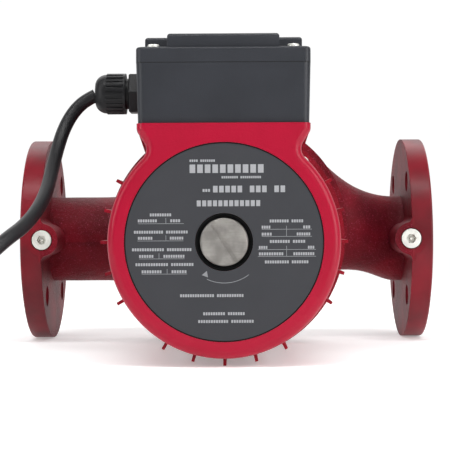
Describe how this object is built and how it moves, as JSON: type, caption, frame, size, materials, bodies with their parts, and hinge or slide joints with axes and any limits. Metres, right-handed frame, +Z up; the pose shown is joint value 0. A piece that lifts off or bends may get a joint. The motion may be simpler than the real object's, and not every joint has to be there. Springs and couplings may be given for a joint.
{
  "type": "flanged inline circulator pump",
  "caption": "Wet-rotor inline circulator pump with flanged ports, finned motor, terminal box, gland and mains cable; moves heating water round a pipe loop.",
  "frame": {"origin": "where the axis of the pipe crosses the axis of the motor, midway between the two flange faces", "axes": "+X along the pipe from the inlet to the outlet, +Z up through the terminal box, -Y along the motor to its nameplate"},
  "size_m": [0.401, 0.3348, 0.1873],
  "materials": {
    "cast_iron_paint": "rough cast, thin maroon paint",
    "motor_paint": "satin, sand cast under paint",
    "cover_paint": "semi-gloss red paint",
    "box_plastic": "fine spark-eroded texture",
    "black_plastic": "matt, moulded",
    "plate_print": "matt dark grey, printed",
    "stainless": "brushed",
    "zinc_steel": "zinc plated",
    "rubber_black": "matt",
    "gasket_fibre": "fibre sheet",
    "lamination": "stacked sheet",
    "copper_winding": "enamelled copper, varnished",
    "aluminium": "die cast",
    "carbon": "ground carbon",
    "composite": "glass filled",
    "bronze": "turned",
    "brass": "nickel free, turned",
    "white_plastic": "moulded",
    "cable_rubber": "satin sheath"
  },
  "bodies": {
    "pump": {"pump_casing": "cast_iron_paint", "casing_wear_ring": "bronze", "casing_gasket": "gasket_fibre", "gauge_plugs": "zinc_steel", "gauge_plug_seals": "rubber_black", "stator_housing": "motor_paint", "motor_end_cover": "cover_paint", "cover_gasket": "gasket_fibre", "cover_screws": "zinc_steel", "nameplate": "plate_print", "joint_bolts": "zinc_steel", "bearing_plate": "stainless", "rear_bearing": "carbon", "front_bearing": "carbon", "rotor_can": "stainless", "can_o_ring": "rubber_black", "stator_core": "lamination", "stator_windings": "copper_winding", "terminal_box_base": "box_plastic", "terminal_box_lid": "box_plastic", "lid_gasket": "rubber_black", "lid_screws": "zinc_steel", "box_fixing_screws": "zinc_steel", "terminal_block": "white_plastic", "terminal_screws": "brass", "run_capacitor": "white_plastic", "capacitor_clip": "zinc_steel", "earth_screw": "brass", "gland_body": "black_plastic", "gland_locknut": "black_plastic", "gland_seal": "rubber_black", "gland_nut": "black_plastic", "power_cable": "cable_rubber", "cable_tail": "cable_rubber", "cable_coil": "cable_rubber", "cable_tie": "black_plastic", "plug_body": "black_plastic", "plug_pins": "brass"},
    "rotor": {"shaft": "stainless", "rotor_core": "lamination", "rotor_end_rings": "aluminium", "thrust_ring": "carbon", "impeller": "composite", "impeller_nut": "stainless"},
    "vent_seal": {"vent_plug_seal": "rubber_black"},
    "vent_plug": {"vent_plug": "stainless"}
  },
  "joints": [
    {"name": "rotor_spin", "type": "hinge", "parent": "pump", "child": "rotor", "pos_m": [0, 0, 0], "axis": [0, 1, 0], "continuous": true},
    {"name": "vent_lift", "type": "slide", "parent": "pump", "child": "vent_seal", "axis": [0, -1, 0], "range_m": [0, 0.003]},
    {"name": "vent_turn", "type": "hinge", "parent": "vent_seal", "child": "vent_plug", "pos_m": [0, -0.21, 0], "axis": [0, -1, 0], "range_deg": [0, 720]}
  ],
  "couplings": [
    {"joint": "vent_turn", "follows": "vent_lift", "rad_per_m": 4188.8}
  ]
}
